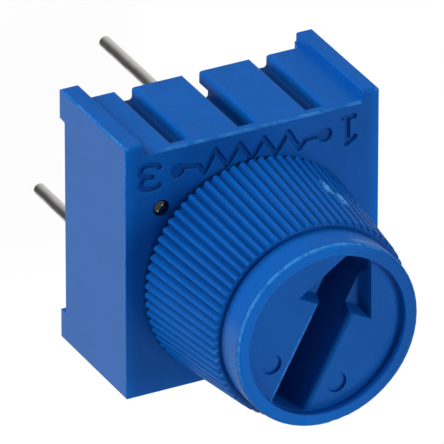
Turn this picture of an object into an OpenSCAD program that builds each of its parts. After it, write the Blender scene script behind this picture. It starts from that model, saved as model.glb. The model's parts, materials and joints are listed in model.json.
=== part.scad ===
// Single-turn trimmer potentiometer, 3/8 inch square, with a ribbed finger knob.
// Z points up through the knob, and z = 0 is the plane of the four standoff feet, which is
// the board surface once the part is fitted. X and Y are the middle of the square body.
// The three wire pins point down. The terminal grooves are in the +Y side.

/* [Body] */
// Width and length of the square body
body_w = 9.53; // [8:0.01:12]
// Height of the front face above the board
body_h = 4.85; // [4.7:0.01:6.5]
// Height of the standoff feet
standoff_h = 0.36; // [0.2:0.01:0.6]
// Distance from the middle of the body to the rotor axis, towards -Y
axis_offset = 0.81; // [0.4:0.01:0.9]
// Thinnest side wall, beside the rotor chamber
side_wall = 0.65; // [0.5:0.01:0.9]
// Thickness of the front wall
front_wall = 0.90; // [0.8:0.01:1.2]
// Width of the two side rims of the grooved side
rim_w = 0.65; // [0.4:0.01:0.9]
// Depth of the grooved side below its rims
rim_step = 0.37; // [0.1:0.01:0.6]
// Offset of the grooved side's hollow from the middle, towards +X
side_shift = 0.06; // [0:0.01:0.1]
// Rounding of the upright corners
corner_r = 0.10; // [0.06:0.01:0.16]
// Rounding of the front and back edges
edge_r = 0.04; // [0.03:0.01:0.1]
// Rounding of the front and back edges of the grooved side
side_edge_r = 0.13; // [0.05:0.01:0.16]

/* [Terminal grooves] */
// Width of each groove
groove_w = 0.62; // [0.4:0.01:0.8]
// Depth of the two outer grooves
groove_d = 0.49; // [0.2:0.01:0.7]
// Rounding of the two mouth edges of a groove
mouth_r = 0.16; // [0.05:0.01:0.2]
// Rounding along the floor of a groove
floor_r = 0.12; // [0.05:0.01:0.15]
// Plastic left between a groove and the front face
groove_lip = 0.30; // [0.2:0.01:0.6]

/* [Pins] */
// Grid that the pins stand on
grid = 2.54; // [2.3:0.01:2.6]
// Diameter of the wire
pin_d = 0.43; // [0.3:0.01:0.6]
// Length of a pin below the board surface
pin_len = 6.15; // [3:0.05:10]

/* [Knob] */
// Diameter of the ribbed skirt at its lower end, over the ribs
skirt_d = 8.18; // [7:0.01:10]
// Diameter of the ribbed skirt at its upper end, over the ribs
skirt_top_d = 7.25; // [7:0.01:8]
// Length of the ribbed skirt
skirt_len = 4.20; // [3.9:0.01:6]
// Gap between the skirt and the front face
skirt_gap = 0.10; // [0.05:0.01:0.3]
// Number of ribs
rib_count = 72; // [36:1:72]
// Depth of the grooves between the ribs
rib_depth = 0.13; // [0.05:0.01:0.15]
// Diameter of the plain rim above the skirt
crown_d = 6.77; // [6.5:0.01:7]
// Height of the plain rim
crown_h = 1.14; // [0.8:0.01:1.5]
// Rounding of the upper edges of the skirt and of the rim
knob_edge_r = 0.16; // [0.05:0.01:0.18]
// Diameter of the sunk dial
dial_d = 5.84; // [5:0.01:6.2]
// Depth of the sunk dial
dial_sink = 0.30; // [0.1:0.01:0.45]
// Width of the screwdriver slot
driver_w = 1.24; // [0.8:0.01:1.6]
// Rounding of the slot's long edges at the dial
driver_mouth_r = 0.20; // [0.05:0.01:0.25]
// Depth of the screwdriver slot below the dial
driver_depth = 1.95; // [1:0.05:2]
// Depth of the arrowhead below the dial
head_depth = 0.50; // [0.3:0.01:1]
// Lean of the arrowhead's sides, in degrees
head_draft = 22; // [0:1:30]
// Direction of the arrow, anticlockwise from +X
arrow_angle = 62; // [60:0.5:70]

/* [Rotor] */
// Diameter of the hub in the front wall
hub_d = 3.56; // [3.2:0.01:3.8]
// Radial clearance of the hub in its bore
hub_gap = 0.05; // [0.02:0.01:0.08]
// Diameter of the post that the knob is pressed on
post_d = 2.30; // [2:0.01:2.6]
// Section of the seal ring
seal_d = 0.56; // [0.4:0.01:0.6]
// Angle that the stop lug fills
lug_angle = 24; // [15:1:30]

/* [Element] */
// Thickness of the ceramic
ceramic_t = 0.63; // [0.4:0.01:0.7]
// Thickness of the fired films
film_t = 0.03; // [0.02:0.005:0.05]
// Width of the resistive track
track_w = 0.50; // [0.3:0.01:0.6]
// Angle that the resistive track fills
track_angle = 280; // [260:1:290]

/* [Hidden] */
$fn = 96;
cut = 0.1;                       // how far a cutter runs past the face that it opens
axis_y = -axis_offset;
front_z = body_h;
back_z = standoff_h;
half_w = body_w / 2;
recess_y = half_w - rim_step;
rims_x = [[-half_w, -half_w + rim_w + side_shift], [half_w - rim_w + side_shift, half_w]];

// Wire and its collar
pin_r = pin_d / 2;
collar_r = pin_r + 0.20;
solder_r = collar_r + 0.035;

// Potting cavity, opened to the back, and the round rotor chamber above it
cavity_x = half_w - 0.87;
cavity_bottom_y = -(half_w - 0.80);
cavity_corner_r = 0.35;
chamber_r = half_w - side_wall - axis_offset;
chamber_top = front_z - front_wall;
cavity_top_y = max(grid + collar_r, axis_y + chamber_r) + 0.04;
epoxy_z = back_z + 0.06;
epoxy_t = 0.93;
ceramic_z = epoxy_z + epoxy_t;
film_z = ceramic_z + ceramic_t;
ledge_z = film_z + film_t;

// Rotor
hub_r = hub_d / 2;
bore_r = hub_r + hub_gap;
rotor_r = chamber_r - 0.40;
rotor_top = chamber_top - 0.08;
rotor_t = 0.97;
rotor_bottom = rotor_top - rotor_t;
lug_r = chamber_r - 0.10;
stop_r = rotor_r + 0.10;
stop_slack = 0.5;                // degrees left at each end of the travel
travel = 360 - 2 * (90 - arrow_angle);
hub_top = front_z + skirt_gap + 0.03;
post_top = hub_top + 2.2;
post_flat = post_d / 2 - 0.22;
boss_r = 0.45;
seal_r = seal_d / 2;
seal_gap = 0.03;

// Knob
skirt_z = front_z + skirt_gap;
skirt_top_z = skirt_z + skirt_len;
crown_top_z = skirt_top_z + crown_h;
dial_z = crown_top_z - dial_sink;
skirt_slope = atan2((skirt_d - skirt_top_d) / 2, skirt_len);
head_half = 1.54;                // half the width across the barbs
head_base = 0.86;                // where the barbs start, from the axis along the arrow
head_tip = 3.72;                 // where the sides of the arrowhead would meet
mark_r = 0.37;
mark_sink = 0.10;
mark_place = [1.38, -1.58];      // across and along the arrow

// Pins, as [x, y], in the order of the terminal numbers
pin_places = [[grid, -grid], [0, grid], [-grid, -grid]];
pin_top = ledge_z + 0.22;
pin_tip = 0.08;

// Tracks, measured from the rotor axis
pin_reach = norm(pin_places[0] - [0, axis_y]);
track_r = pin_reach - solder_r - track_w / 2 - 0.05;
collector_r = 1.15;
collector_w = 0.56;
gap_angle = 360 - track_angle;
pad_angle = 18;
lead_w = 0.40;

// Vent
vent_place = [-(half_w - 1.345), half_w - 2.545];
vent_r = 0.30;

plastic = [0.05, 0.33, 0.66];
tinned = [0.62, 0.61, 0.58];
silver_film = [0.80, 0.79, 0.74];

// ---------------------------------------------------------------- shared shapes

// Rectangle between two corners with true round corners
module round_rectangle(x0, y0, x1, y1, r) {
    translate([x0 + r, y0]) square([x1 - x0 - 2 * r, y1 - y0]);
    translate([x0, y0 + r]) square([x1 - x0, y1 - y0 - 2 * r]);
    for (x = [x0 + r, x1 - r], y = [y0 + r, y1 - r])
        translate([x, y]) circle(r);
}

// Wedge of the plane between two angles that are under 180 degrees apart
module wedge(from, to, reach) {
    middle = (from + to) / 2;
    polygon([[0, 0], reach * [cos(from), sin(from)],
             reach * [cos(middle), sin(middle)], reach * [cos(to), sin(to)]]);
}

module ring(inner, outer) {
    difference() {
        circle(outer);
        circle(inner);
    }
}

module ring_sector(inner, outer, from, to) {
    intersection() {
        ring(inner, outer);
        wedge(from, to, 3 * outer);
    }
}

// Places its children on the rotor axis
module on_axis(z = 0) {
    translate([0, axis_y, z]) children();
}

// ---------------------------------------------------------------- housing

// Rectangle between two corners with its own radius at each, from the lower left anticlockwise
module soft_rectangle(x0, y0, x1, y1, r) {
    polygon([[x0 + r[0], y0], [x1 - r[1], y0], [x1, y0 + r[1]], [x1, y1 - r[2]],
             [x1 - r[2], y1], [x0 + r[3], y1], [x0, y1 - r[3]], [x0, y0 + r[0]]]);
    translate([x0 + r[0], y0 + r[0]]) circle(r[0]);
    translate([x1 - r[1], y0 + r[1]]) circle(r[1]);
    translate([x1 - r[2], y1 - r[2]]) circle(r[2]);
    translate([x0 + r[3], y1 - r[3]]) circle(r[3]);
}

// Block between two corners, with all its edges rounded
module soft_block(from, to) {
    size = to - from;
    all_edges = [edge_r, edge_r, edge_r, edge_r];
    side_edges = [edge_r, side_edge_r, side_edge_r, edge_r];
    intersection() {
        translate([0, 0, from[2]]) linear_extrude(size[2])
            round_rectangle(from[0], from[1], to[0], to[1], corner_r);
        rotate([90, 0, 90]) translate([0, 0, from[0]]) linear_extrude(size[0])
            soft_rectangle(from[1], from[2], to[1], to[2], side_edges);
        rotate([90, 0, 0]) translate([0, 0, -to[1]]) linear_extrude(size[1])
            soft_rectangle(from[0], from[2], to[0], to[2], all_edges);
    }
}

// The two rims stand past the grooved side
module body_block() {
    soft_block([-half_w, -half_w, back_z], [half_w, recess_y, front_z]);
    for (x = rims_x)
        soft_block([x[0], -half_w, back_z], [x[1], half_w, front_z]);
}

module body_outline() {
    round_rectangle(-half_w, -half_w, half_w, recess_y, corner_r);
    for (x = rims_x)
        round_rectangle(x[0], -half_w, x[1], half_w, corner_r);
}

// Side view of a foot: flat under the corner, sloping up to the body, outer edge rounded
module foot_side(reach, slope, r) {
    foot_top = back_z + 2 * side_edge_r;
    polygon([[-r, 0], [-reach, 0], [-reach - slope, back_z],
             [-reach - slope, foot_top], [0, foot_top], [0, r]]);
    translate([-r, r]) circle(r);
}

module foot(sx, sy) {
    foot_x = rim_w;
    foot_y = 1.10;
    foot_slope = 0.10;
    y_edge_r = sy > 0 ? side_edge_r : edge_r;
    intersection() {
        linear_extrude(back_z + y_edge_r) body_outline();
        translate([sx * half_w, 0, 0]) mirror([sx < 0 ? 1 : 0, 0, 0])
            rotate([90, 0, 0]) linear_extrude(2 * body_w, center = true)
                foot_side(foot_x, foot_slope, edge_r);
        translate([0, sy * half_w, 0]) mirror([0, sy < 0 ? 1 : 0, 0])
            rotate([90, 0, 90]) linear_extrude(2 * body_w, center = true)
                foot_side(foot_y, 0.02, y_edge_r);
    }
}

// Mouth of a slot in a face at y = 0, its two sides rounded over
module round_mouth(width, r) {
    outer = width / 2 + r;
    difference() {
        translate([-outer, -r]) square([2 * outer, r + cut]);
        for (side = [-1, 1]) translate([side * outer, -r]) circle(r);
    }
}

// Section of a groove, rounded along its floor and over at its mouth
module groove_section(depth) {
    half = groove_w / 2;
    round_rectangle(-half, -depth, half, cut, floor_r);
    round_mouth(groove_w, mouth_r);
}

module groove(x, depth) {
    translate([x, recess_y, back_z - cut])
        linear_extrude(front_z - groove_lip - back_z + cut) groove_section(depth);
}

// Window in the back edge, where the middle groove runs out
module groove_window() {
    window_w = 1.70;
    window_top = back_z + 0.63;
    window_y = recess_y - groove_d;
    translate([-window_w / 2, cavity_top_y + 0.18, back_z - cut])
        cube([window_w, window_y - cavity_top_y - 0.18, window_top - back_z + cut]);
}

module potting_cavity() {
    translate([0, 0, back_z - cut]) linear_extrude(ledge_z - back_z + cut)
        round_rectangle(-cavity_x, cavity_bottom_y, cavity_x, cavity_top_y, cavity_corner_r);
}

module rotor_chamber() {
    seal_pocket_r = hub_r + seal_d + seal_gap;
    seal_pocket_h = rotor_top + seal_d + seal_gap - chamber_top;
    on_axis(ledge_z - cut) cylinder(h = chamber_top - ledge_z + cut, r = chamber_r);
    on_axis(chamber_top - cut) cylinder(h = seal_pocket_h + cut, r = seal_pocket_r);
    on_axis(chamber_top) cylinder(h = front_wall + cut, r = bore_r);
}

// Room in the ledge for the pin tops and their solder
module pin_pockets() {
    for (place = pin_places)
        translate([place[0], place[1], ledge_z - cut])
            cylinder(h = 0.45 + cut, r = solder_r + 0.12);
}

// Fixed stop for the rotor's lug, opposite the middle pin
module stop_block() {
    half_stop = (360 - travel - lug_angle) / 2 - stop_slack;
    stop_wall = chamber_r + 0.20;
    on_axis(rotor_bottom) linear_extrude(chamber_top - rotor_bottom + cut)
        ring_sector(stop_r, stop_wall, 270 - half_stop, 270 + half_stop);
}

module housing() {
    color(plastic) union() {
        difference() {
            union() {
                body_block();
                for (sx = [-1, 1], sy = [-1, 1]) foot(sx, sy);
            }
            for (x = [-grid, grid]) groove(x, groove_d);
            groove(0, groove_d + 0.25);
            groove_window();
            potting_cavity();
            rotor_chamber();
            pin_pockets();
            translate([vent_place[0], vent_place[1], ledge_z - cut])
                cylinder(h = front_z - ledge_z + 2 * cut, r = vent_r);
        }
        stop_block();
    }
}

// ---------------------------------------------------------------- knob

// One straight V groove, laid along the slope of the skirt
module rib_groove() {
    half_v = 0.98 * rib_depth;
    over = 0.30;                 // the cutter's height outside the skirt
    flare = half_v * (rib_depth + over) / rib_depth;
    translate([skirt_d / 2, 0, skirt_z]) rotate([0, -skirt_slope, 0])
        translate([-rib_depth, 0, -skirt_len / 2]) linear_extrude(2 * skirt_len)
            polygon([[0, 0], [rib_depth + over, -flare], [rib_depth + over, flare]]);
}

// Cone with its upper edge rounded
module soft_cone(r1, r2, h, edge) {
    slope = atan2(r1 - r2, h);
    edge_z = h - edge;
    edge_x = r1 - edge_z * tan(slope) - edge / cos(slope);
    rotate_extrude() {
        polygon([[0, 0], [r1, 0], [edge_x + edge * cos(slope), edge_z + edge * sin(slope)],
                 [edge_x, h], [0, h]]);
        translate([edge_x, edge_z]) circle(edge);
    }
}

module skirt() {
    difference() {
        translate([0, 0, skirt_z])
            soft_cone(skirt_d / 2, skirt_top_d / 2, skirt_len, knob_edge_r);
        for (i = [0 : rib_count - 1]) rotate((i + 0.75) * 360 / rib_count) rib_groove();
    }
}

// Plain rim on top of the skirt
module crown() {
    translate([0, 0, skirt_top_z - cut])
        soft_cone(crown_d / 2, crown_d / 2, crown_h + cut, knob_edge_r);
}

// All that lies left of a line on the dial, with a face that leans in below the dial
module leaning_side(from, to) {
    reach = 2 * dial_d;
    way = to - from;
    translate([from[0], from[1], dial_z]) rotate(atan2(way[1], way[0])) rotate([head_draft, 0, 0])
        translate([-reach, 0, -reach]) cube([2 * reach, reach, 2 * reach]);
}

// Arrowhead pocket, its tip cut off by the edge of the dial
module arrowhead_pocket() {
    intersection() {
        leaning_side([-head_half, head_base], [head_half, head_base]);
        leaning_side([head_half, head_base], [0, head_tip]);
        leaning_side([0, head_tip], [-head_half, head_base]);
        translate([0, 0, dial_z - head_depth])
            cylinder(h = head_depth + cut, r = dial_d / 2 - 0.12);
    }
}

// Outline that ends the slot just inside the sides of the arrowhead
module slot_outline() {
    shaft_half = driver_w / 2 + driver_mouth_r + cut;
    inside = 0.05;
    tip = head_tip - inside * head_tip / head_half;
    polygon([[-shaft_half, -dial_d], [shaft_half, -dial_d], [shaft_half, head_base],
             [head_half - inside, head_base], [0, tip], [inside - head_half, head_base],
             [-shaft_half, head_base]]);
}

module driver_section() {
    translate([-driver_w / 2, -driver_depth]) square([driver_w, driver_depth + cut]);
    round_mouth(driver_w, driver_mouth_r);
}

module driver_slot() {
    intersection() {
        translate([0, dial_d, dial_z]) rotate([90, 0, 0])
            linear_extrude(2 * dial_d) driver_section();
        linear_extrude(crown_top_z) slot_outline();
        cylinder(h = crown_top_z, r = dial_d / 2 - 0.03);
    }
}

// Round core in the underside that leaves the skirt and the boss as walls
module skirt_core() {
    core_top = dial_z - driver_depth - 0.9;
    core_r = skirt_top_d / 2 - 0.75;
    boss_wall_r = hub_r + 0.10;
    translate([0, 0, skirt_z - cut]) difference() {
        cylinder(h = core_top - skirt_z + cut, r = core_r);
        cylinder(h = core_top - skirt_z + cut, r = boss_wall_r);
    }
}

// Round post with two flats, for the rotor and for its socket in the knob
module post_shape(h) {
    intersection() {
        cylinder(h = h, r = post_d / 2);
        translate([-post_d, -post_flat, 0]) cube([2 * post_d, 2 * post_flat, h]);
    }
}

module knob() {
    color(plastic) on_axis() difference() {
        union() {
            skirt();
            crown();
        }
        translate([0, 0, dial_z]) cylinder(h = dial_sink + cut, r = dial_d / 2);
        rotate(arrow_angle - 90) {
            driver_slot();
            arrowhead_pocket();
            for (side = [-1, 1])
                translate([side * mark_place[0], mark_place[1], dial_z - mark_sink])
                    cylinder(h = mark_sink + cut, r = mark_r);
        }
        skirt_core();
        translate([0, 0, skirt_z - cut])
            cylinder(h = hub_top - skirt_z + cut, r = hub_r + 0.10 + cut);
        rotate(arrow_angle) translate([0, 0, hub_top - cut])
            post_shape(post_top - hub_top + 2 * cut);
    }
}

// ---------------------------------------------------------------- rotor

module rotor() {
    lug_at = arrow_angle + 180;
    boss_h = 0.45;
    color([0.86, 0.85, 0.80]) on_axis() union() {
        translate([0, 0, rotor_bottom]) cylinder(h = rotor_t, r = rotor_r);
        translate([0, 0, rotor_bottom]) linear_extrude(rotor_t)
            ring_sector(rotor_r - 0.2, lug_r, lug_at - lug_angle / 2, lug_at + lug_angle / 2);
        translate([0, 0, rotor_top - cut])
            cylinder(h = hub_top - rotor_top + cut, r = hub_r);
        translate([0, 0, rotor_bottom - boss_h]) cylinder(h = boss_h + cut, r = boss_r);
        rotate(arrow_angle) translate([0, 0, hub_top - cut]) post_shape(post_top - hub_top + cut);
    }
}

module seal_ring() {
    color([0.10, 0.10, 0.11]) on_axis(rotor_top + seal_r)
        rotate_extrude() translate([hub_r + seal_r, 0]) circle(seal_r);
}

// Contact finger seen from its side: plate end, slope, and a rounded toe on the track
strip_t = 0.08;
toe_r = 0.16;
toe_gap = 0.025;
toe_z = ledge_z + toe_gap + strip_t + toe_r;
plate_z = rotor_bottom - strip_t;
heel = [0.95, plate_z + strip_t / 2 - toe_z];        // the slope's end, from the toe's middle
slope_angle = atan2(heel[1], heel[0]) + asin(toe_r / norm(heel));

module contact_finger(width) {
    toe_angles = concat([for (a = [-70 : 10 : slope_angle - 5]) a], [slope_angle]);
    inner = [for (a = toe_angles) toe_r * [sin(a), -cos(a)]];
    outer = [for (a = toe_angles) (toe_r + strip_t) * [sin(a), -cos(a)]];
    side = strip_t * [sin(slope_angle), -cos(slope_angle)];
    outer_back = [for (i = [len(outer) - 1 : -1 : 0]) outer[i]];
    rotate([90, 0, 0]) linear_extrude(width, center = true) translate([0, toe_z])
        polygon(concat(inner, [heel, heel + side], outer_back));
}

// Six fingers on one plate: three ride on the resistive track and three on the collector
module wiper() {
    finger_w = 0.13;
    finger_pitch = 0.18;
    plate_x = [0.60, 1.55];
    color([0.78, 0.66, 0.38]) on_axis() rotate(arrow_angle) {
        difference() {
            translate([0, 0, plate_z]) linear_extrude(strip_t) union() {
                translate([-0.75, -plate_x[1]])
                    square([track_r + 0.30 + 0.75, plate_x[1] - plate_x[0]]);
                translate([-0.75, -plate_x[0] - cut]) square([1.5, plate_x[0] + 0.75 + cut]);
            }
            translate([0, 0, plate_z - cut]) cylinder(h = strip_t + 2 * cut, r = boss_r);
        }
        for (reach = [collector_r, track_r], i = [-1 : 1])
            translate([reach + i * finger_pitch, 0, 0]) rotate(-90) contact_finger(finger_w);
    }
}

// ---------------------------------------------------------------- element

module ceramic_element() {
    edge_gap = 0.05;
    color([0.93, 0.92, 0.88]) difference() {
        translate([0, 0, ceramic_z]) linear_extrude(ceramic_t)
            round_rectangle(-cavity_x + edge_gap, cavity_bottom_y + edge_gap,
                            cavity_x - edge_gap, cavity_top_y - edge_gap, cavity_corner_r);
        for (place = pin_places)
            translate([place[0], place[1], ceramic_z - cut])
                cylinder(h = ceramic_t + 2 * cut, r = pin_r);
    }
}

module resistive_track() {
    color([0.12, 0.14, 0.13]) on_axis(film_z) linear_extrude(film_t) difference() {
        ring(track_r - track_w / 2, track_r + track_w / 2);
        wedge(90 - gap_angle / 2, 90 + gap_angle / 2, 3 * track_r);
    }
}

module pin_pad(place) {
    translate(place) circle(solder_r);
}

module pin_hole(place) {
    translate(place) circle(pin_r);
}

module collector_track() {
    place = pin_places[1];
    lead_from = axis_y + collector_r;
    color(silver_film) translate([0, 0, film_z]) linear_extrude(film_t) difference() {
        union() {
            translate([0, axis_y])
                ring(collector_r - collector_w / 2, collector_r + collector_w / 2);
            translate([-lead_w / 2, lead_from]) square([lead_w, place[1] - lead_from]);
            pin_pad(place);
        }
        pin_hole(place);
    }
}

// Conductor from one end of the resistive track round the edge to its pin
module end_conductor(side, place) {
    outer = track_r + track_w / 2;
    pad_from = 90 - gap_angle / 2;
    lead_y = axis_y + outer * sin(pad_from) + 0.02;
    lead_x = cavity_x - 0.45;
    mirrored = side < 0 ? 1 : 0;
    x = abs(place[0]);
    color(silver_film) translate([0, 0, film_z]) mirror([mirrored, 0, 0])
        linear_extrude(film_t) difference() {
            union() {
                translate([0, axis_y])
                    ring_sector(track_r - track_w / 2, outer, pad_from, pad_from + pad_angle);
                translate([outer * cos(pad_from) - 0.25, lead_y])
                    square([lead_x - outer * cos(pad_from) + 0.25, lead_w]);
                translate([lead_x - lead_w, place[1] - lead_w / 2])
                    square([lead_w, lead_y + lead_w - place[1] + lead_w / 2]);
                translate([x, place[1] - lead_w / 2]) square([lead_x - x, lead_w]);
                pin_pad([x, place[1]]);
            }
            pin_hole([x, place[1]]);
        }
}

module end_conductor_1() {
    end_conductor(1, pin_places[0]);
}

module end_conductor_3() {
    end_conductor(-1, pin_places[2]);
}

// ---------------------------------------------------------------- terminals

// Straight round wire with a broken tip edge and an upset collar that locks in the epoxy
module pin(place) {
    cover = 0.06;                // epoxy below the collar, and above it to the ceramic
    collar_z = epoxy_z + cover;
    collar_h = epoxy_t - 2 * cover;
    color(tinned) translate([place[0], place[1], 0]) union() {
        translate([0, 0, -pin_len + pin_tip]) cylinder(h = pin_len - pin_tip + pin_top, r = pin_r);
        translate([0, 0, -pin_len]) cylinder(h = pin_tip, r1 = pin_r - pin_tip, r2 = pin_r);
        translate([0, 0, collar_z]) cylinder(h = collar_h, r = collar_r);
    }
}

module pin_1() {
    pin(pin_places[0]);
}

module pin_2() {
    pin(pin_places[1]);
}

module pin_3() {
    pin(pin_places[2]);
}

// Hollow-sided cone of solder round a pin's upper end
module solder(place) {
    height = 0.18;
    reach = solder_r - pin_r;
    color([0.72, 0.72, 0.70]) translate([place[0], place[1], ledge_z])
        rotate_extrude() difference() {
            translate([pin_r, 0]) square([reach, height]);
            translate([solder_r, height]) scale([reach, height]) circle(0.96, $fn = 48);
        }
}

module solder_1() {
    solder(pin_places[0]);
}

module solder_2() {
    solder(pin_places[1]);
}

module solder_3() {
    solder(pin_places[2]);
}

// ---------------------------------------------------------------- sealing

module epoxy_seal() {
    color([0.12, 0.13, 0.15]) difference() {
        translate([0, 0, epoxy_z]) linear_extrude(epoxy_t)
            round_rectangle(-cavity_x, cavity_bottom_y, cavity_x, cavity_top_y, cavity_corner_r);
        for (place = pin_places) pin(place);
    }
}

// Drop of black resin that closes the vent, its bead domed a little proud of the face
module vent_plug() {
    plug_len = 0.60;
    bead_h = 0.17;
    bead_top = front_z + 0.6 * skirt_gap;
    bead_z = bead_top - bead_h;
    sphere_r = (vent_r * vent_r + bead_h * bead_h) / (2 * bead_h);
    color([0.03, 0.03, 0.04]) translate([vent_place[0], vent_place[1], 0]) union() {
        translate([0, 0, bead_z - plug_len]) cylinder(h = plug_len, r = vent_r);
        intersection() {
            translate([0, 0, bead_top - sphere_r]) sphere(sphere_r);
            translate([0, 0, bead_z]) cylinder(h = bead_h + cut, r = vent_r);
        }
    }
}

housing();
knob();
rotor();
seal_ring();
wiper();
ceramic_element();
resistive_track();
collector_track();
end_conductor_1();
end_conductor_3();
pin_1();
pin_2();
pin_3();
solder_1();
solder_2();
solder_3();
epoxy_seal();
vent_plug();
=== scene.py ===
import json
import math

import bmesh
import bpy
from mathutils import Matrix, Vector
from mathutils.geometry import delaunay_2d_cdt


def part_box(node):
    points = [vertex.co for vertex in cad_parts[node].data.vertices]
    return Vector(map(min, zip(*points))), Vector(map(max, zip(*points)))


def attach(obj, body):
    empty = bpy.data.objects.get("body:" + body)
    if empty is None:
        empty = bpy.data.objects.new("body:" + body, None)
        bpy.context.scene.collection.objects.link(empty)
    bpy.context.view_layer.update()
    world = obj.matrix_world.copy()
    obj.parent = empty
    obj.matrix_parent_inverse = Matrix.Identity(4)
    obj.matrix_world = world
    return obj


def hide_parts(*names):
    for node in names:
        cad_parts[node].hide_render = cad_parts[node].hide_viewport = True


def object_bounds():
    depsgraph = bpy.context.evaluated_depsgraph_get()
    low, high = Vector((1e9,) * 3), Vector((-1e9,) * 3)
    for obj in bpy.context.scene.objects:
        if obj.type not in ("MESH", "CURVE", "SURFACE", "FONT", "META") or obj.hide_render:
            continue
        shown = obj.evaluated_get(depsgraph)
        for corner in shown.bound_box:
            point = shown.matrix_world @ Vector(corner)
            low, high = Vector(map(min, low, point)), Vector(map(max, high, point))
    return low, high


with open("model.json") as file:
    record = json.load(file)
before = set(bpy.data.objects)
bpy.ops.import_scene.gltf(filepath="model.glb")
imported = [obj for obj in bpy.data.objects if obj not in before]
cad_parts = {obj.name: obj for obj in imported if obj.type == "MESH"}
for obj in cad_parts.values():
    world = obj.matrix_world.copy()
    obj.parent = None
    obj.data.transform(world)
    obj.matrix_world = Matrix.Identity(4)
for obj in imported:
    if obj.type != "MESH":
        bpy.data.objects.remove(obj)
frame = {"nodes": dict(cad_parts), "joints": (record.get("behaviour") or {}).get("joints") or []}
cad_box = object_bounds()
nodes = frame["nodes"]

MM = 0.001

# ------------------------------------------------------------------ sizes of the part

VENT_PROUD = 0.06                # mm that the vent bead stands out of the front face
RIM_STEP = 0.37                  # mm that the two end rims stand above the blocks between them
FACE_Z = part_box("vent_plug")[1].z - VENT_PROUD * MM          # the front face, in metres
HALF_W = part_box("housing")[1].x / MM                         # half the housing's width, in mm
BLOCK_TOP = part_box("housing")[1].y / MM - RIM_STEP           # the blocks' top, in mm
AXIS = Vector((0.0, frame["joints"][0]["pos_m"][1], 0.0))    # the knob turns about it, along z

# in mm and degrees
GRID = 2.54                      # spacing of the three grooves
GROOVE_REACH = 0.75              # from a groove's middle, past the rounding of its mouth
RIM_REACH = 0.80                 # from a side face, past the rim
ARROW_ANGLE = 62.0               # direction of the knob's arrow
SKIRT_FOOT = 4.95                # heights on the knob
SKIRT_TOP = 9.15
POCKET_FLOOR = 9.49              # floor of the arrowhead pocket
DIAL = 9.99
CROWN_TOP = 10.29
DIAL_R = 2.92                    # radii on the knob
CROWN_R = 3.38
SKIRT_TAPER = 0.111              # mm of radius that the skirt loses in 1 mm of height
RIB_CREST = 4.64                 # the ribs' outer radius with the taper taken out

# ------------------------------------------------------------------ colours

BLUE = (0.0015, 0.118, 0.500)
PALE_BLUE = (0.16, 0.28, 0.55)
RUB_AND_HIGHLIGHT_BLUE = (0.09, 0.38, 0.85)       # rubbed plastic, and painted highlights
EDGE_BLUE = (0.0, 0.22, 0.90)    # plastic with light in it
SLOT_SHADOW_COLOUR = (0.004, 0.13, 0.18)  # painted shade deep in the slot
# painted shade in hollows: between the ribs, under the crown, in the arrowhead pocket, the grooves and
# the sunk marks
PAINTED_SHADE_BLUE = (0.0003, 0.018, 0.095)
SIDE_SHEEN = 0.33                     # painted sheen: how far the faces that look along x turn PALE_BLUE
# painted reflection on the wires: BRIGHT_TIN towards BRIGHT_FLANK, DARK_TIN beside it, UNDER_TIN on the
# far side; DRAWN_TIN is the drawn lines
BRIGHT_TIN = (0.58, 0.56, 0.53)
DARK_TIN = (0.055, 0.053, 0.057)
UNDER_TIN = (0.50, 0.48, 0.47)
DRAWN_TIN = (0.36, 0.35, 0.34)
BRIGHT_FLANK = (0.765, 0.644, 0.0)   # painted reflection: the direction in which the wires are bright
WHITE = (1.0, 1.0, 1.0, 1.0)
FLOOR_GREY = (0.86, 0.86, 0.86, 1.0)
AMBIENT = (0.93, 0.96, 1.0, 1.0)


# ------------------------------------------------------------------ node helpers

COLOUR_A = 6                     # sockets of a Mix node that is set to colours
COLOUR_B = 7
COLOUR_RESULT = 2


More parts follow.
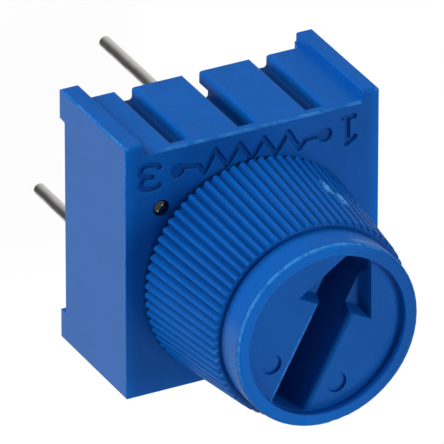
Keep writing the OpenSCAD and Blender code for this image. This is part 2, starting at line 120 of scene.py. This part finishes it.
class Graph:
    """A small helper round one material's or world's node tree."""

    def __init__(self, tree):
        self.tree = tree
        self.tree.nodes.clear()

    def add(self, kind, **settings):
        """A new node with its settings made."""
        node = self.tree.nodes.new(kind)
        for key, value in settings.items():
            setattr(node, key, value)
        return node

    def join(self, source, target):
        """Links an output to an input."""
        self.tree.links.new(source, target)

    def put(self, socket, value):
        """Sets a socket to a number, or joins it to another socket."""
        if isinstance(value, bpy.types.NodeSocket):
            self.join(value, socket)
        else:
            socket.default_value = value

    def math(self, operation, a, b=0.0):
        """A Math node's result."""
        node = self.add("ShaderNodeMath", operation=operation)
        self.put(node.inputs[0], a)
        self.put(node.inputs[1], b)
        return node.outputs[0]

    def chain(self, operation, *values):
        """An operation over any count of values, from the first to the last."""
        total = values[0]
        for value in values[1:]:
            total = self.math(operation, total, value)
        return total

    def spread(self, value, low, high, to_low=0.0, to_high=1.0):
        """Maps low..high smoothly to to_low..to_high, and holds the ends outside."""
        node = self.add("ShaderNodeMapRange", interpolation_type="SMOOTHSTEP")
        self.put(node.inputs["Value"], value)
        self.put(node.inputs["From Min"], low)
        self.put(node.inputs["From Max"], high)
        self.put(node.inputs["To Min"], to_low)
        self.put(node.inputs["To Max"], to_high)
        return node.outputs["Result"]

    def fall(self, value, low, high):
        """1 below low and 0 above high."""
        return self.spread(value, low, high, 1.0, 0.0)

    def noise(self, place, size_mm, detail=2.0, roughness=0.5, stretch=None):
        """Noise with features of about size_mm, in the object's own coordinates."""
        if stretch:
            mapping = self.add("ShaderNodeMapping")
            self.join(place, mapping.inputs["Vector"])
            mapping.inputs["Scale"].default_value = stretch
            place = mapping.outputs["Vector"]
        node = self.add("ShaderNodeTexNoise")
        self.join(place, node.inputs["Vector"])
        node.inputs["Scale"].default_value = 1.0 / (size_mm * MM)
        node.inputs["Detail"].default_value = detail
        node.inputs["Roughness"].default_value = roughness
        return node.outputs["Fac"]

    def blend(self, factor, a, b):
        """Colour a where the factor is 0 and b where it is 1; each is a socket or three numbers."""
        node = self.add("ShaderNodeMix", data_type="RGBA")
        self.put(node.inputs[0], factor)
        for number, value in ((COLOUR_A, a), (COLOUR_B, b)):
            is_socket = isinstance(value, bpy.types.NodeSocket)
            self.put(node.inputs[number], value if is_socket else (*value, 1.0))
        return node.outputs[COLOUR_RESULT]

    def bump(self, height, depth_mm):
        """A normal that follows a height of 0 to 1, over depth_mm."""
        node = self.add("ShaderNodeBump")
        self.join(height, node.inputs["Height"])
        node.inputs["Distance"].default_value = depth_mm * MM
        return node.outputs["Normal"]

    def coordinates(self, kind):
        """Object for the place in the object's own coordinates, Normal for its surface's direction."""
        return self.add("ShaderNodeTexCoord").outputs[kind]

    def split(self, vector):
        """The x, y and z of a vector."""
        parts = self.add("ShaderNodeSeparateXYZ")
        self.join(vector, parts.inputs[0])
        return tuple(parts.outputs)


def new_material(name):
    """A material with a bare Principled shader, its graph, and that shader."""
    material = bpy.data.materials.new(name)
    material.use_nodes = True
    graph = Graph(material.node_tree)
    shader = graph.add("ShaderNodeBsdfPrincipled")
    out = graph.add("ShaderNodeOutputMaterial")
    graph.join(shader.outputs["BSDF"], out.inputs["Surface"])
    return material, graph, shader


def bounded(g, measures, *bounds):
    """The product of ramps. A bound is (measure, rise, fall), with None for a side left open."""
    masks = []
    for name, rise, fall in bounds:
        if rise:
            masks.append(g.spread(measures[name], *rise))
        if fall:
            masks.append(g.fall(measures[name], *fall))
    return g.chain("MULTIPLY", *masks)


def beside(level, start, end):
    """A ramp's two ends, given from a level of the part."""
    return level + start, level + end


def facing_sideways(g, normal):
    """1 on the faces that look along x, 0 on the rest."""
    return g.spread(g.math("ABSOLUTE", g.split(normal)[0]), 0.93, 0.995)


# ------------------------------------------------------------------ the knob's plastic

# The middle of the streak of wear: its height falls as the angle grows.
STREAK_START = 14.2
STREAK_SLOPE = -0.12
CREST_MARK_TAPER = 0.125               # a little over SKIRT_TAPER, so the streak of wear and the painted highlights on the rib ends go deeper near the crown

# The marks below are wear and painted highlights. Each has bounds, as bounded() takes them, and noise
# that breaks it up: the size in mm and the detail, then the ramp as (low, high, least, most).
KNOB_RUBS_AND_HIGHLIGHTS = (
    # a streak across the crests of the ribs
    ((("streak", None, (0.16, 0.50)),
      ("angle", (53.0, 56.5), (63.0, 67.0)),
      ("crest", (4.50, 4.60), None)),
     (0.075, 2.0), (0.34, 0.48, 0.0, 1.0)),
    # painted highlight along the rounded edge of the crown
    ((("radius", beside(CROWN_R, -0.10, -0.06), None),
      ("height", beside(CROWN_TOP, -0.12, -0.08), beside(CROWN_TOP, -0.035, -0.01)),
      ("turn", (45.0, 60.0), (175.0, 235.0))),
     (0.22, 3.0), (0.36, 0.62, 0.14, 0.60)),
    # a patch on the crown's flank
    ((("angle", (56.0, 60.0), (70.0, 76.0)),
      ("height", beside(CROWN_TOP, -0.44, -0.34), beside(CROWN_TOP, -0.19, -0.04)),
      ("radius", beside(CROWN_R, -0.05, -0.02), None)),
     (0.16, 2.0), (0.35, 0.60, 0.1, 0.45)),
    # painted highlights on the upper ends of some ribs
    ((("height", beside(SKIRT_TOP, -0.17, -0.09), beside(SKIRT_TOP, -0.03, 0.01)),
      ("crest", beside(RIB_CREST, -0.08, 0.0), None),
      ("turn", (170.0, 190.0), (225.0, 245.0))),
     (0.10, 2.0), (0.46, 0.60, 0.0, 0.28)),
    # flecks on the crown's flank
    ((("turn", (175.0, 190.0), (215.0, 230.0)),
      ("height", beside(CROWN_TOP, -0.74, -0.54), beside(CROWN_TOP, -0.19, -0.07)),
      ("radius", beside(CROWN_R, -0.05, -0.02), None)),
     (0.07, 2.0), (0.56, 0.68, 0.0, 0.6)),
    # painted highlight along one side of the slot's rounded mouth, short of the arrowhead
    ((("across", (0.66, 0.70), (0.76, 0.82)),
      ("along", None, (0.30, 0.50)),
      ("height", beside(DIAL, -0.13, -0.06), beside(DIAL, 0.0, 0.02))),
     (0.18, 3.0), (0.36, 0.62, 0.12, 0.50)),
)


def knob_measures(g, place):
    """Where a place lies on the knob, in mm and degrees about its axis."""
    centred = g.add("ShaderNodeVectorMath", operation="SUBTRACT")
    g.join(place, centred.inputs[0])
    centred.inputs[1].default_value = AXIS
    x, y, z = g.split(centred.outputs[0])
    squares = g.math("ADD", g.math("MULTIPLY", x, x), g.math("MULTIPLY", y, y))
    radius = g.math("DIVIDE", g.math("SQRT", squares), MM)
    height = g.math("DIVIDE", z, MM)
    angle = g.math("DEGREES", g.math("ARCTAN2", y, x))
    from_arrow = g.math("RADIANS", g.math("SUBTRACT", angle, ARROW_ANGLE))
    streak_height = g.math("ADD", g.math("MULTIPLY", angle, STREAK_SLOPE), STREAK_START)
    return {
        "radius": radius,
        "height": height,
        "angle": angle,                                                  # -180 to 180
        "turn": g.math("MODULO", g.math("ADD", angle, 360.0), 360.0),    # 0 to 360
        "along": g.math("MULTIPLY", radius, g.math("COSINE", from_arrow)),
        "across": g.math("MULTIPLY", radius, g.math("SINE", from_arrow)),
        "cone": g.math("ADD", radius, g.math("MULTIPLY", height, SKIRT_TAPER)),
        "crest": g.math("ADD", radius, g.math("MULTIPLY", height, CREST_MARK_TAPER)),
        "streak": g.math("ABSOLUTE", g.math("SUBTRACT", height, streak_height)),
    }


def knob_layers(g, place, normal):
    """What lies over the knob's blue, from the bottom up: (mask, strength, colour)."""
    at = knob_measures(g, place)
    sideways = facing_sideways(g, normal)
    crown_flank = bounded(g, at, ("radius", beside(CROWN_R, -0.18, -0.12), beside(CROWN_R, 0.02, 0.08)))
    # painted shade between the ribs and in the corner under the crown
    between_ribs = bounded(g, at,
                           ("cone", None, beside(RIB_CREST, -0.10, 0.0)),
                           ("radius", beside(CROWN_R, 0.04, 0.08), None),
                           ("height", beside(SKIRT_FOOT, -0.05, 0.05), beside(SKIRT_TOP, -0.05, -0.01)))
    under_crown = bounded(g, at,
                          ("radius", beside(CROWN_R, -0.08, -0.05), beside(CROWN_R, 0.01, 0.22)),
                          ("height", beside(SKIRT_TOP, -0.07, -0.03), beside(SKIRT_TOP, 0.01, 0.30)))
    # painted shade deep in the slot
    slot = bounded(g, at,
                   ("height", None, beside(POCKET_FLOOR, -0.11, -0.02)),
                   ("radius", None, beside(DIAL_R, -0.12, 0.03)))
    # painted shade in the arrowhead pocket
    arrowhead = bounded(g, at,
                        ("height", beside(POCKET_FLOOR, -0.11, -0.02), beside(DIAL, -0.19, -0.09)),
                        ("radius", None, beside(DIAL_R, -0.12, 0.03)),
                        ("along", (0.55, 0.75), None))
    # painted light: the flat ring round the dial is more vivid, except on the side turned away from the
    # lamps
    ring = bounded(g, at,
                   ("radius", beside(DIAL_R, 0.01, 0.06), None),
                   ("height", beside(CROWN_TOP, -0.09, -0.03), None),
                   ("turn", (50.0, 90.0), (250.0, 330.0)))
    rubs_and_highlights = []
    for bounds, (size_mm, detail), ramp in KNOB_RUBS_AND_HIGHLIGHTS:
        broken = g.spread(g.noise(place, size_mm, detail=detail), *ramp)
        rubs_and_highlights.append(g.math("MULTIPLY", bounded(g, at, *bounds), broken))
    return (
        # painted sheen on the crown's flank where it looks along x
        (g.math("MULTIPLY", sideways, crown_flank), SIDE_SHEEN * 0.6, PALE_BLUE),
        (g.math("MAXIMUM", between_ribs, under_crown), 0.45, PAINTED_SHADE_BLUE),
        (slot, 0.38, SLOT_SHADOW_COLOUR),
        (arrowhead, 0.30, PAINTED_SHADE_BLUE),
        (ring, 0.45, EDGE_BLUE),
        # the streak of wear, and painted highlights on the edges and rib ends
        (g.chain("MAXIMUM", *rubs_and_highlights), 1.0, RUB_AND_HIGHLIGHT_BLUE),
    )


# ------------------------------------------------------------------ the housing's plastic

def housing_measures(g, place):
    """Where a place lies on the housing, in mm."""
    x, y, z = (g.math("DIVIDE", part, MM) for part in g.split(place))
    return {
        "x": x,
        "side": g.math("SUBTRACT", HALF_W, g.math("ABSOLUTE", x)),       # in from a side face
        "below_top": g.math("SUBTRACT", BLOCK_TOP, y),
        "above_bottom": g.math("ADD", y, HALF_W),
        "behind": g.math("SUBTRACT", FACE_Z / MM, z),                    # behind the front face
    }


def housing_highlight_and_wear(g, place, normal, at):
    """A painted highlight along the housing's rounded outer edges, broken up by noise, with specks of
    wear near the top of its front corners.
    """
    nx, ny, nz = (g.math("ABSOLUTE", part) for part in g.split(normal))
    slant = g.chain("MAXIMUM", g.math("MULTIPLY", nx, ny), g.math("MULTIPLY", ny, nz),
                    g.math("MULTIPLY", nx, nz))
    rounded = g.spread(slant, 0.10, 0.40)
    # the rims at both ends stand above the blocks' top, so their front has no edge there
    in_rim = g.math("SUBTRACT", RIM_REACH, at["side"])
    top = g.math("MAXIMUM", g.math("ABSOLUTE", at["below_top"]), in_rim)
    level = g.math("MINIMUM", top, at["above_bottom"])
    front_edge = g.math("MULTIPLY", g.fall(at["behind"], 0.10, 0.16), g.fall(level, 0.12, 0.16))
    near_edge = g.math("MAXIMUM", g.fall(at["side"], 0.12, 0.16), front_edge)
    # painted highlight along the rounded edges, broken up by noise
    broken_edge_highlight = g.spread(g.noise(place, 0.5, detail=4.0), 0.35, 0.65, 0.10, 0.42)
    corner = bounded(g, at,
                     ("behind", None, (0.2, 1.6)),
                     ("below_top", None, (0.3, 2.2)),
                     ("side", None, (0.12, 0.30)))
    specks = g.spread(g.noise(place, 0.11, detail=2.0), 0.48, 0.60, 0.0, 0.80)
    highlight_with_specks = g.math("MAXIMUM", broken_edge_highlight, g.math("MULTIPLY", corner, specks))
    return g.chain("MULTIPLY", rounded, near_edge, highlight_with_specks)


def housing_layers(g, place, normal):
    """What lies over the housing's blue, from the bottom up: (mask, strength, colour)."""
    at = housing_measures(g, place)
    # painted sheen: the housing's side faces are made paler
    sheen_on_sides = g.math("MULTIPLY", facing_sideways(g, normal), g.fall(at["side"], 0.10, 0.20))
    # the front face glows near the side faces, where light has passed the corner
    glow = bounded(g, at, ("behind", None, (0.02, 0.06)), ("side", None, (0.05, 0.50)))
    at["groove"] = g.math("ABSOLUTE", at["x"])
    for centre in (-GRID, GRID):
        beyond = g.math("ABSOLUTE", g.math("SUBTRACT", at["x"], centre))
        at["groove"] = g.math("MINIMUM", at["groove"], beyond)
    # painted shade deep in the three grooves
    grooves = bounded(g, at,
                      ("groove", None, beside(GROOVE_REACH, 0.0, 0.10)),
                      ("below_top", (0.08, 0.50), (0.90, 1.10)),
                      ("behind", (0.20, 0.30), None))
    at["edge"] = g.chain("MINIMUM", at["side"], at["below_top"], at["above_bottom"])
    # painted shade inside the sunk marks
    marks = bounded(g, at, ("behind", (0.01, 0.09), (0.13, 0.16)), ("edge", (0.14, 0.18), None))
    return (
        (sheen_on_sides, SIDE_SHEEN, PALE_BLUE),
        (glow, 0.36, EDGE_BLUE),
        (grooves, 0.74, PAINTED_SHADE_BLUE),
        (marks, 0.32, PAINTED_SHADE_BLUE),
        (housing_highlight_and_wear(g, place, normal, at), 1.0, RUB_AND_HIGHLIGHT_BLUE),
    )


# ------------------------------------------------------------------ materials

def blue_plastic(name, roughness, layers):
    """Satin moulded thermoplastic: an even blue with a fine mould grain, under the given layers."""
    material, g, shader = new_material(name)
    place = g.coordinates("Object")
    flow = g.noise(place, 2.2, detail=1.0)
    grain = g.noise(place, 0.09, detail=3.0, roughness=0.6)
    tone = g.blend(g.spread(flow, 0.3, 0.7), [c * 0.96 for c in BLUE], [c * 1.04 for c in BLUE])
    tone = g.blend(g.spread(grain, 0.35, 0.75, 0.0, 0.05), tone, PALE_BLUE)
    for mask, strength, colour in layers(g, place, g.coordinates("Normal")):
        tone = g.blend(g.math("MULTIPLY", mask, strength), tone, colour)
    gloss = g.noise(place, 0.4, detail=2.0)
    fine = g.noise(place, 0.045, detail=3.0, roughness=0.6)
    g.join(tone, shader.inputs["Base Color"])
    g.join(g.spread(gloss, 0.3, 0.7, roughness - 0.03, roughness + 0.03), shader.inputs["Roughness"])
    g.join(g.bump(fine, 0.0012), shader.inputs["Normal"])
    shader.inputs["IOR"].default_value = 1.45
    shader.inputs["Specular IOR Level"].default_value = 0.06
    return material


def tinned_wire(name):
    """Hot-tinned wire with drawn lines along it, and a painted reflection: bright on one flank, dark
    beside it, pale again on the far side.
    """
    material, g, shader = new_material(name)
    place = g.coordinates("Object")
    lines = g.noise(place, 0.05, detail=3.0, stretch=(1.0, 1.0, 0.05))
    stain = g.noise(place, 0.7, detail=4.0)
    across = g.add("ShaderNodeVectorMath", operation="DOT_PRODUCT")
    g.join(g.coordinates("Normal"), across.inputs[0])
    across.inputs[1].default_value = BRIGHT_FLANK
    uneven = g.math("MULTIPLY", g.math("SUBTRACT", stain, 0.5), 0.35)
    flank = g.math("ADD", across.outputs["Value"], uneven)
    # painted reflection: light or dark by the surface's direction, made uneven by the stain noise
    tone = g.blend(g.spread(flank, -0.30, 0.90), DARK_TIN, BRIGHT_TIN)
    tone = g.blend(g.fall(flank, -0.92, -0.70), tone, UNDER_TIN)
    tone = g.blend(g.spread(lines, 0.5, 0.8, 0.0, 0.25), tone, DRAWN_TIN)
    g.join(tone, shader.inputs["Base Color"])
    g.join(g.spread(stain, 0.3, 0.7, 0.26, 0.40), shader.inputs["Roughness"])
    g.join(g.bump(lines, 0.003), shader.inputs["Normal"])
    shader.inputs["Metallic"].default_value = 1.0
    return material


def plain_metal(name, colour, roughness, grain=0.06, depth=0.002):
    """Solder, fired metal or spring strip: mottled, with a surface grain."""
    material, g, shader = new_material(name)
    place = g.coordinates("Object")
    cloud = g.noise(place, 0.4, detail=4.0)
    tone = g.blend(g.spread(cloud, 0.3, 0.7), [c * 0.82 for c in colour], colour)
    g.join(tone, shader.inputs["Base Color"])
    g.join(g.spread(cloud, 0.3, 0.7, roughness - 0.06, roughness + 0.08), shader.inputs["Roughness"])
    g.join(g.bump(g.noise(place, grain, detail=3.0), depth), shader.inputs["Normal"])
    shader.inputs["Metallic"].default_value = 1.0
    return material


def plain_solid(name, colour, roughness, grain=0.05, depth=0.002, spots=None):
    """Ceramic, film, rubber, resin or plain plastic: mottled, with a surface grain."""
    material, g, shader = new_material(name)
    place = g.coordinates("Object")
    cloud = g.noise(place, 0.6, detail=4.0)
    tone = g.blend(g.spread(cloud, 0.3, 0.7), [c * 0.85 for c in colour], colour)
    if spots:
        tone = g.blend(g.spread(g.noise(place, 0.05), 0.62, 0.72, 0.0, 0.6), tone, spots)
    g.join(tone, shader.inputs["Base Color"])
    g.join(g.spread(cloud, 0.3, 0.7, roughness - 0.04, roughness + 0.05), shader.inputs["Roughness"])
    g.join(g.bump(g.noise(place, grain, detail=3.0), depth), shader.inputs["Normal"])
    return material


def glossy_bead(name):
    """The black resin bead that closes the vent hole."""
    material = plain_solid(name, (0.001, 0.002, 0.005), 0.07, grain=0.3, depth=0.004)
    shader = material.node_tree.nodes["Principled BSDF"]
    shader.inputs["IOR"].default_value = 1.6
    shader.inputs["Specular IOR Level"].default_value = 0.4
    return material


housing_blue = blue_plastic("housing_blue", 0.46, housing_layers)
wire = tinned_wire("tinned_wire")
solder = plain_metal("solder_grey", (0.62, 0.62, 0.61), 0.34)
silver = plain_metal("fired_silver", (0.66, 0.65, 0.60), 0.45, grain=0.03)
FINISH = {
    "housing": housing_blue,
    "knob": blue_plastic("knob_blue", 0.40, knob_layers),
    "pin_1": wire,
    "pin_2": wire,
    "pin_3": wire,
    "solder_1": solder,
    "solder_2": solder,
    "solder_3": solder,
    "collector_track": silver,
    "end_conductor_1": silver,
    "end_conductor_3": silver,
    "wiper": plain_metal("contact_strip", (0.70, 0.55, 0.30), 0.28),
    "resistive_track": plain_solid("resistor_film", (0.018, 0.022, 0.021), 0.42,
                                   spots=(0.06, 0.07, 0.07)),
    "ceramic_element": plain_solid("white_ceramic", (0.80, 0.78, 0.72), 0.62),
    "rotor": plain_solid("rotor_cream", (0.62, 0.60, 0.52), 0.48),
    "seal_ring": plain_solid("seal_rubber", (0.018, 0.018, 0.019), 0.55),
    "epoxy_seal": plain_solid("potting_resin", (0.020, 0.022, 0.026), 0.22, grain=0.4, depth=0.02),
    "vent_plug": glossy_bead("vent_resin"),
}
for node_name, finish in FINISH.items():
    slots = nodes[node_name].data.materials
    slots.clear()
    slots.append(finish)


# ------------------------------------------------------------------ marks moulded into the front face

STROKE = 0.17 * MM               # width of the sunk lines
SINK = 0.11 * MM                 # their depth
SHOULDER = 0.07 * MM             # how far the rounding of their sides reaches
MESH_STEP = 0.022 * MM           # spacing of the points that carry them
ROW_STEP = 0.97                  # spacing of their rows, in steps
MARGIN = 0.4 * MM                # how far round the marks points are tried
SHARP = math.radians(32.0)       # an edge is sharp from this angle on
SAME_PLACE = 1e-7                # metres
ON_FACE = 1e-6                   # metres
FLAT = 0.999                     # the least z of the front face's normal

# In mm on the front face. The numerals stand upside down, as seen with the pins' side up.
THREE_TOP = ((-3.48, 3.76), (-3.60, 3.87), (-3.80, 3.92), (-3.98, 3.93), (-4.12, 3.87),
             (-4.19, 3.76), (-4.16, 3.63), (-4.02, 3.52), (-3.76, 3.45))
THREE_FOOT = ((-3.94, 3.48), (-4.10, 3.42), (-4.18, 3.30), (-4.15, 3.16), (-4.02, 3.07),
              (-3.84, 3.03), (-3.66, 3.03), (-3.49, 3.10))
ONE_STEM = ((3.57, 3.92), (3.57, 2.98))
ONE_BASE = ((3.42, 3.92), (3.82, 3.90))
ONE_FLAG = ((3.54, 2.93), (3.84, 3.12))
SIGN_START = ((-2.60, 3.56), (-2.02, 3.46), (-1.80, 3.14))
SIGN_PEAK = (-1.40, 3.90)
SIGN_VALLEY = (-0.95, 3.20)
SIGN_PITCH = 0.91
SIGN_TEETH = 4
SIGN_END = ((1.76, 3.17), (1.98, 3.46), (2.50, 3.50))
DOT_CENTRES = ((-2.80, 3.46), (2.73, 3.45))
DOT_R = 0.25
DOTS = [(Vector(centre) * MM, DOT_R * MM) for centre in DOT_CENTRES]


def smooth_line(points, steps=6):
    """Catmull-Rom curve through the points."""
    line = []
    count = len(points)
    for i in range(count - 1):
        p0 = Vector(points[max(i - 1, 0)])
        p1 = Vector(points[i])
        p2 = Vector(points[i + 1])
        p3 = Vector(points[min(i + 2, count - 1)])
        for s in range(steps):
            t = s / steps
            line.append(0.5 * ((2 * p1) + (p2 - p0) * t + (2 * p0 - 5 * p1 + 4 * p2 - p3) * t * t
                               + (3 * p1 - p0 - 3 * p2 + p3) * t ** 3))
    line.append(Vector(points[-1]))
    return line


def mark_segments():
    """The marks' centre lines as straight pieces, in metres."""
    zigzag = []
    for i in range(SIGN_TEETH):
        zigzag.append((SIGN_PEAK[0] + SIGN_PITCH * i, SIGN_PEAK[1]))
        zigzag.append((SIGN_VALLEY[0] + SIGN_PITCH * i, SIGN_VALLEY[1]))
    sign = (*SIGN_START, *zigzag[:-1], *SIGN_END)
    lines = (smooth_line(THREE_TOP), smooth_line(THREE_FOOT), sign, ONE_STEM, ONE_BASE, ONE_FLAG)
    segments = []
    for line in lines:
        points = [Vector(point) * MM for point in line]
        segments.extend(zip(points, points[1:]))
    return segments


def distance_to_marks(point, segments):
    """How far a point lies outside the nearest mark; negative inside it."""
    nearest = 1.0
    for a, b in segments:
        along = b - a
        share = max(0.0, min(1.0, (point - a).dot(along) / along.length_squared))
        nearest = min(nearest, (point - a - along * share).length)
    nearest -= STROKE / 2
    for centre, radius in DOTS:
        nearest = min(nearest, (point - centre).length - radius)
    return nearest


def sunk(distance):
    """Depth of a mark's surface: flat floor, leaning side, rounded shoulder."""
    share = max(0.0, min(1.0, 0.5 - distance / SHOULDER))
    return SINK * share * share * (3.0 - 2.0 * share)


def mark_points(segments):
    """Points of a fine grid near the marks, each with its depth."""
    corners = [p for segment in segments for p in segment] + [centre for centre, radius in DOTS]
    left = min(p.x for p in corners)
    right = max(p.x for p in corners)
    bottom = min(p.y for p in corners)
    top = max(p.y for p in corners)
    rows = int((top - bottom + 2 * MARGIN) / MESH_STEP)
    columns = int((right - left + 2 * MARGIN) / MESH_STEP)
    found = []
    for row in range(rows):
        y = bottom - MARGIN + row * MESH_STEP * ROW_STEP
        for column in range(columns):
            x = left - MARGIN + (column + 0.5 * (row % 2)) * MESH_STEP
            near = [(a, b) for a, b in segments if min(a.x, b.x) - MARGIN < x < max(a.x, b.x) + MARGIN]
            distance = distance_to_marks(Vector((x, y)), near)
            if distance < SHOULDER:
                found.append((x, y, sunk(distance)))
    return found


def inside(point, outline):
    """Whether a point lies inside an outline of segments, by counting crossings."""
    crossings = 0
    for a, b in outline:
        if (a.y > point.y) != (b.y > point.y):
            x = a.x + (point.y - a.y) * (b.x - a.x) / (b.y - a.y)
            crossings += x > point.x
    return crossings % 2 == 1


def open_front(bm):
    """Takes away the flat front face, and returns the edges round the opening."""
    flat = []
    for face in bm.faces:
        if face.normal.z > FLAT and abs(face.calc_center_median().z - FACE_Z) < ON_FACE:
            flat.append(face)
    known = set(flat)
    rim = [e for e in bm.edges if sum(f in known for f in e.link_faces) == 1]
    bmesh.ops.delete(bm, geom=flat, context="FACES_ONLY")
    bmesh.ops.delete(bm, geom=[e for e in bm.edges if not e.link_faces], context="EDGES")
    return rim


def fill_front(bm, rim):
    """Meshes the opening with the marks sunk into it, and returns the points that carry them."""
    corners = list(dict.fromkeys(v for e in rim for v in e.verts))
    index = {v: i for i, v in enumerate(corners)}
    fine = mark_points(mark_segments())
    scale = 1.0 / MM
    flat_points = [v.co.xy * scale for v in corners]
    flat_points += [Vector(point[:2]) * scale for point in fine]
    edges = [(index[e.verts[0]], index[e.verts[1]]) for e in rim]
    placed, _, faces, origin, _, _ = delaunay_2d_cdt(flat_points, edges, [], 0, SAME_PLACE)
    first = [min(sources) for sources in origin]
    vertices = []
    for source in first:
        if source < len(corners):
            vertices.append(corners[source])
        else:
            x, y, depth = fine[source - len(corners)]
            vertices.append(bm.verts.new((x, y, FACE_Z - depth)))
    outline = [(flat_points[a], flat_points[b]) for a, b in edges]
    for face in faces:
        if all(first[i] < len(corners) for i in face):
            middle = sum((placed[i] for i in face), Vector((0.0, 0.0))) / len(face)
            if not inside(middle, outline):
                continue
        made = bm.faces.new([vertices[i] for i in face])
        made.normal_update()
        if made.normal.z < 0.0:
            made.normal_flip()
    return {vertex for vertex, source in zip(vertices, first) if source >= len(corners)}


def shade_by_angle(bm, carried):
    """Smooth faces and sharp edges by angle; the points that carry the marks have none sharp."""
    bm.normal_update()
    for face in bm.faces:
        face.smooth = True
    for edge in bm.edges:
        soft = edge.calc_face_angle(0.0) < SHARP
        edge.smooth = soft or edge.verts[0] in carried or edge.verts[1] in carried


def marked_housing():
    """A copy of the housing whose front face is meshed finely and sunk along the marks."""
    bm = bmesh.new()
    bm.from_mesh(nodes["housing"].data)
    bmesh.ops.remove_doubles(bm, verts=bm.verts, dist=SAME_PLACE)
    bm.normal_update()
    carried = fill_front(bm, open_front(bm))
    shade_by_angle(bm, carried)
    mesh = bpy.data.meshes.new("housing_marked")
    bm.to_mesh(mesh)
    bm.free()
    # the copied normals belong to the old front face
    if mesh.has_custom_normals:
        mesh.attributes.remove(mesh.attributes["custom_normal"])
    mesh.materials.append(housing_blue)
    piece = bpy.data.objects.new("housing_marked", mesh)
    bpy.context.scene.collection.objects.link(piece)
    weighted = piece.modifiers.new("face_normals", "WEIGHTED_NORMAL")
    weighted.keep_sharp = True
    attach(piece, "body")
    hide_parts("housing")


marked_housing()


# ------------------------------------------------------------------ floor, lights, camera

FLOOR_HALF = 0.6                 # metres
FLOOR_GAP = 0.02 * MM            # between the pins' ends and the floor
FLOOR_GLOW = 1.05
FLOOR_SHARE = 0.91               # of the glow in what the camera sees; the rest takes the shadow
AMBIENT_STRENGTH = 0.16
LAMP_TARGET = Vector((0.0, 0.0, 0.004))
LAMP_DISTANCE = 0.42             # metres
# name, direction from the target, size in metres, power in watts
LAMPS = (
    ("strip_left_top", (-0.7, 0.7, 0.03), (0.30, 0.03), 1.22),
    ("soft_right", (0.50, 0.08, 0.86), (0.12, 0.12), 0.53),
    ("low_right", (0.50, -0.50, 0.70), (0.20, 0.20), 0.34),
    ("low_front", (-0.18, -0.80, 0.57), (0.10, 0.10), 0.23),
)
CAMERA_PLACE = Vector((-0.144756, 0.171825, 0.282421))
CAMERA_RIGHT = Vector((0.888268907, 0.000395998, 0.459323624))
CAMERA_UP = Vector((0.219876791, 0.877613413, -0.425968184))
CAMERA_BACK = Vector((-0.403277256, 0.479368898, 0.779469637))
CAMERA_LENS = 866.26             # mm
CAMERA_SENSOR = 36.0             # mm


def mix_where_seen(g, share, seen, unseen):
    """The seen shader at this share for camera, glossy and transmission rays, else the unseen one."""
    path = g.add("ShaderNodeLightPath")
    rays = [path.outputs[name] for name in ("Is Camera Ray", "Is Glossy Ray", "Is Transmission Ray")]
    mix = g.add("ShaderNodeMixShader")
    g.join(g.math("MULTIPLY", g.chain("MAXIMUM", *rays), share), mix.inputs[0])
    g.join(unseen.outputs[0], mix.inputs[1])
    g.join(seen.outputs[0], mix.inputs[2])
    return mix.outputs[0]


def light_shader(g, kind, colour, strength):
    """An Emission or Background node."""
    node = g.add(kind)
    node.inputs["Color"].default_value = colour
    node.inputs["Strength"].default_value = strength
    return node


def add_floor():
    """A pale floor that shows white and keeps a faint shadow of the part."""
    bm = bmesh.new()
    bmesh.ops.create_grid(bm, x_segments=1, y_segments=1, size=FLOOR_HALF)
    mesh = bpy.data.meshes.new("floor")
    bm.to_mesh(mesh)
    bm.free()
    floor = bpy.data.objects.new("floor", mesh)
    floor.location.z = cad_box[0].z - FLOOR_GAP
    bpy.context.scene.collection.objects.link(floor)
    material = bpy.data.materials.new("floor_white")
    material.use_nodes = True
    g = Graph(material.node_tree)
    diffuse = g.add("ShaderNodeBsdfDiffuse")
    diffuse.inputs["Color"].default_value = FLOOR_GREY
    glow = light_shader(g, "ShaderNodeEmission", WHITE, FLOOR_GLOW)
    out = g.add("ShaderNodeOutputMaterial")
    g.join(mix_where_seen(g, FLOOR_SHARE, glow, diffuse), out.inputs["Surface"])
    mesh.materials.append(material)


def add_world():
    """White where it is seen, and a faint cool light for the rest."""
    world = bpy.data.worlds.new("studio")
    bpy.context.scene.world = world
    world.use_nodes = True
    g = Graph(world.node_tree)
    ambient = light_shader(g, "ShaderNodeBackground", AMBIENT, AMBIENT_STRENGTH)
    white = light_shader(g, "ShaderNodeBackground", WHITE, 1.0)
    out = g.add("ShaderNodeOutputWorld")
    g.join(mix_where_seen(g, 1.0, white, ambient), out.inputs["Surface"])


def add_lamp(name, direction, size, power):
    """A rectangular lamp that looks at the target."""
    lamp = bpy.data.lights.new(name, "AREA")
    lamp.shape = "RECTANGLE"
    lamp.size = size[0]
    lamp.size_y = size[1]
    lamp.energy = power
    item = bpy.data.objects.new(name, lamp)
    towards = Vector(direction).normalized()
    item.location = LAMP_TARGET + towards * LAMP_DISTANCE
    item.rotation_euler = towards.to_track_quat("Z", "Y").to_euler()
    bpy.context.scene.collection.objects.link(item)


def add_camera():
    """The camera at the photograph's angle."""
    data = bpy.data.cameras.new("camera")
    data.sensor_width = CAMERA_SENSOR
    data.lens = CAMERA_LENS
    data.clip_start = 0.01
    data.clip_end = 10.0
    camera = bpy.data.objects.new("camera", data)
    matrix = Matrix((CAMERA_RIGHT, CAMERA_UP, CAMERA_BACK)).transposed().to_4x4()
    matrix.translation = CAMERA_PLACE
    camera.matrix_world = matrix
    bpy.context.scene.collection.objects.link(camera)
    bpy.context.scene.camera = camera


add_floor()
add_world()
for settings in LAMPS:
    add_lamp(*settings)
add_camera()

bpy.context.scene.view_settings.view_transform = "Standard"
